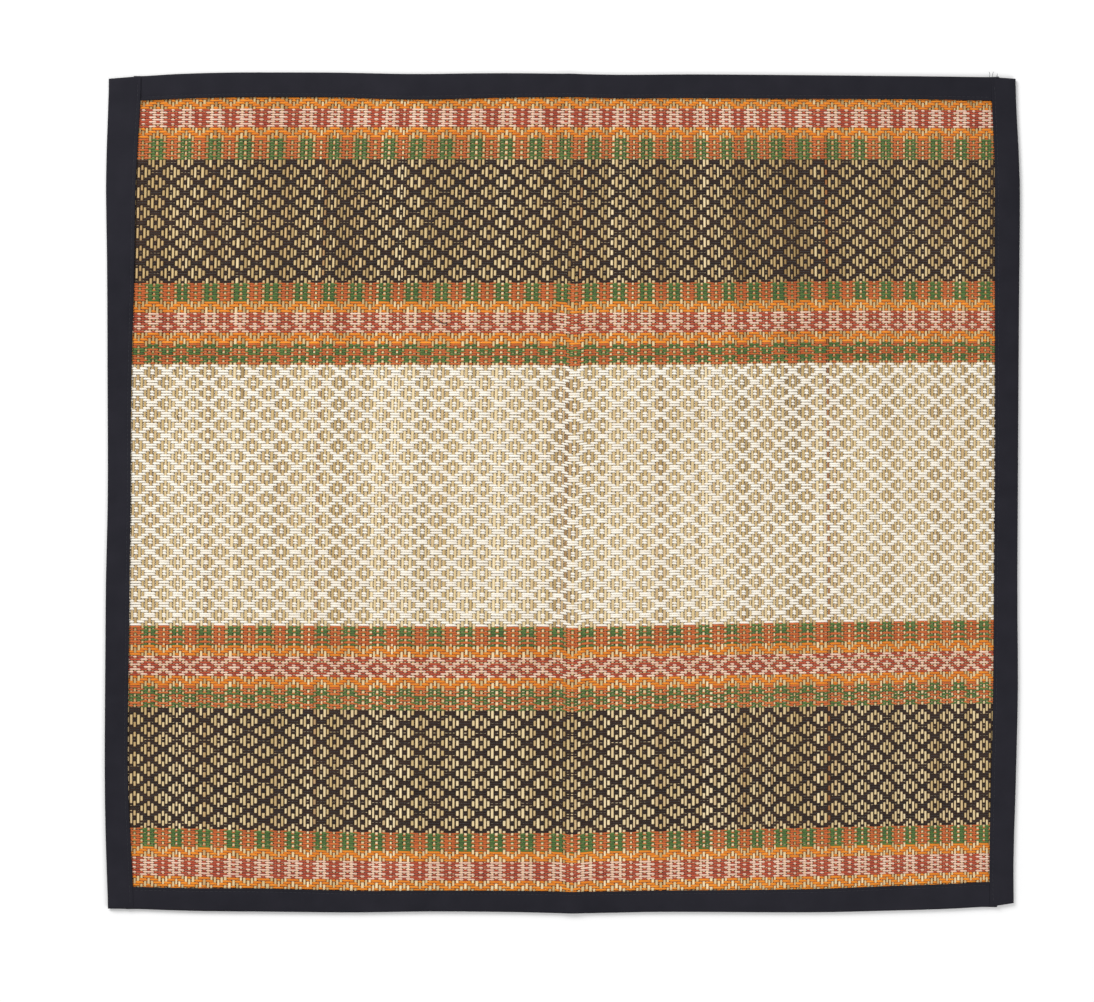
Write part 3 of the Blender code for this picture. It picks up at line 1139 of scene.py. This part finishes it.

# %% [markdown]
# Dry reed goes from straw to pale cream, with a satin skin. A reed is paler towards its
# tip, at the front of the mat. Old reeds are brown, and the reeds over the old fold line
# are darkened with painted shade. The values that each ring carries mix both in.

# %% Reed material
def reed_material():
    material, tree, shader = new_material("dry_reed")
    grain = placed_group(tree, grain_group)
    mottle = placed_group(tree, mottle_group)
    place = object_place(tree)[1]
    shift = weighted_sum(
        tree,
        -0.35,
        (place["Y"], -0.55),
        (strand_tone(tree), 0.75),
        (grain.outputs["Streak"], 0.55),
        (grain.outputs["Height"], 0.25),
        (mottle.outputs["Drift"], 0.25),
    )
    straw = colour_ramp(
        tree, shift, (0.05, (136, 107, 62)), (0.45, (197, 169, 116)), (0.95, (237, 216, 172))
    )
    brown = colour_ramp(tree, grain.outputs["Streak"], (0.3, (120, 66, 30)), (0.7, (176, 112, 58)))
    mix = tree.nodes.new("ShaderNodeMix")
    mix.data_type = "RGBA"
    # The brown mixed in here is real staining, and painted shade over the old fold line.
    tree.links.new(strand_tone(tree, "stain_and_shade"), mix.inputs["Factor"])
    tree.links.new(straw, mix.inputs[6])
    tree.links.new(brown, mix.inputs[7])
    tree.links.new(mix.outputs[2], shader.inputs["Base Color"])
    roughness = weighted_sum(tree, 0.42, (grain.outputs["Height"], 0.25))
    tree.links.new(roughness, shader.inputs["Roughness"])
    shader.inputs["Specular IOR Level"].default_value = 0.35
    add_bump(tree, shader, grain.outputs["Height"], 0.5, 0.08 * MM)
    return material


reeds.data.materials.append(reed_material())

# %% [markdown]
# The tape is a fine cotton twill, dyed nearly black with some blue in it. Its slanting
# ribs come from the twist group, with finer turns. The rib height also darkens the
# colour in the grooves between the ribs, as painted shade.

# %% Tape material
def tape_material():
    material, tree, shader = new_material("dark_twill")
    ribs = placed_group(tree, twist_group, Turns=1500.0, Slant=1500.0)
    mottle = placed_group(tree, mottle_group)
    # The rib height in this sum paints shade into the grooves between the ribs.
    shift = weighted_sum(
        tree,
        -0.2,
        (ribs.outputs["Height"], 0.5),
        (mottle.outputs["Patch"], 0.5),
        (mottle.outputs["Drift"], 0.4),
    )
    navy = colour_ramp(tree, shift, (0.1, (15, 15, 23)), (0.9, (36, 35, 43)))
    tree.links.new(navy, shader.inputs["Base Color"])
    roughness = weighted_sum(tree, 0.78, (ribs.outputs["Fibre"], 0.15))
    tree.links.new(roughness, shader.inputs["Roughness"])
    shader.inputs["Specular IOR Level"].default_value = 0.2
    add_bump(tree, shader, ribs.outputs["Height"], 0.6, 0.1 * MM)
    return material


twill = tape_material()
for piece in tapes.values():
    piece.data.materials.append(twill)

# %% [markdown]
# The sewing thread is finer and a little glossier than the cloth. The chaff is dry
# brown leaf. Both are too small to need more than one colour, which is darker in the
# grooves of the twist as painted shade.

# %% Thread and chaff materials
def small_material(name, deep, light, roughness):
    material, tree, shader = new_material(name)
    twist = placed_group(tree, twist_group, Turns=2600.0, Slant=2600.0)
    # The colour follows the twist height: painted shade in the grooves of the twist.
    colour_and_painted_shade = colour_ramp(tree, twist.outputs["Height"], (0.2, deep), (0.8, light))
    tree.links.new(colour_and_painted_shade, shader.inputs["Base Color"])
    shader.inputs["Roughness"].default_value = roughness
    add_bump(tree, shader, twist.outputs["Height"], 0.5, 0.05 * MM)
    return material


sewing.data.materials.append(small_material("dark_thread", (14, 14, 20), (44, 44, 54), 0.55))
chaff.data.materials.append(small_material("brown_chaff", (36, 24, 18), (84, 60, 44), 0.8))

# %% [markdown]
# ## Joining the looks to the solids
#
# The reeds stand for the panel's solid, and each tape for its own.

# %% Say what rides, and what is replaced
yarn_pieces = list(yarns.values())
for piece in [reeds, chaff, *yarn_pieces]:
    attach(piece, "root")
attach(sewing, "root")
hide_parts("woven_panel")
for side, piece in tapes.items():
    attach(piece, "root")
    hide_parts("binding_" + side)

# %% [markdown]
# ## Floor, light and camera
#
# The mat lies on a plain pale floor. One broad lamp stands at the back left, as a
# window would, and a fainter one opposite fills its shadows.

# %% Floor and light
def add_floor():
    bpy.ops.object.select_all(action="DESELECT")
    bpy.ops.mesh.primitive_plane_add(size=6.0, location=(0, 0, -0.2 * MM))
    floor = bpy.context.object
    floor.name = "floor"
    material, tree, shader = new_material("pale_floor")
    shader.inputs["Base Color"].default_value = (0.92, 0.92, 0.92, 1.0)
    shader.inputs["Roughness"].default_value = 0.9
    floor.data.materials.append(material)


def add_lamp(name, place, size, watts):
    bpy.ops.object.light_add(type="AREA", location=place)
    lamp = bpy.context.object
    lamp.name = name
    lamp.data.size = size
    lamp.data.energy = watts
    lamp.rotation_euler = (-Vector(place)).to_track_quat("-Z", "Y").to_euler()


add_floor()
add_lamp("window_light", (-1.1, 1.3, 1.7), 1.1, 44.5)
add_lamp("fill_light", (1.2, -1.3, 1.9), 1.5, 27.0)
world = bpy.data.worlds.new("soft_room")
bpy.context.scene.world = world
world.use_nodes = True
world.node_tree.nodes["Background"].inputs["Color"].default_value = (1.0, 1.0, 1.0, 1.0)
world.node_tree.nodes["Background"].inputs["Strength"].default_value = 0.385
bpy.context.scene.view_settings.view_transform = "Standard"

# %% [markdown]
# The photo was taken from straight above, a little to the left of the mat's middle.
# The distance follows from the lens and from how wide the picture is on the floor.

# %% Camera
PICTURE_WIDTH = 729.9 * MM
LENS = 85.0
SENSOR = 36.0
CAMERA_X = -10.2 * MM
CAMERA_Y = -5.4 * MM
distance = PICTURE_WIDTH * LENS / SENSOR
bpy.ops.object.camera_add(location=(CAMERA_X, CAMERA_Y, distance), rotation=(0, 0, 0))
camera = bpy.context.object
camera.data.lens = LENS
camera.data.sensor_width = SENSOR
bpy.context.scene.camera = camera
print("camera height, m:", round(distance, 3))
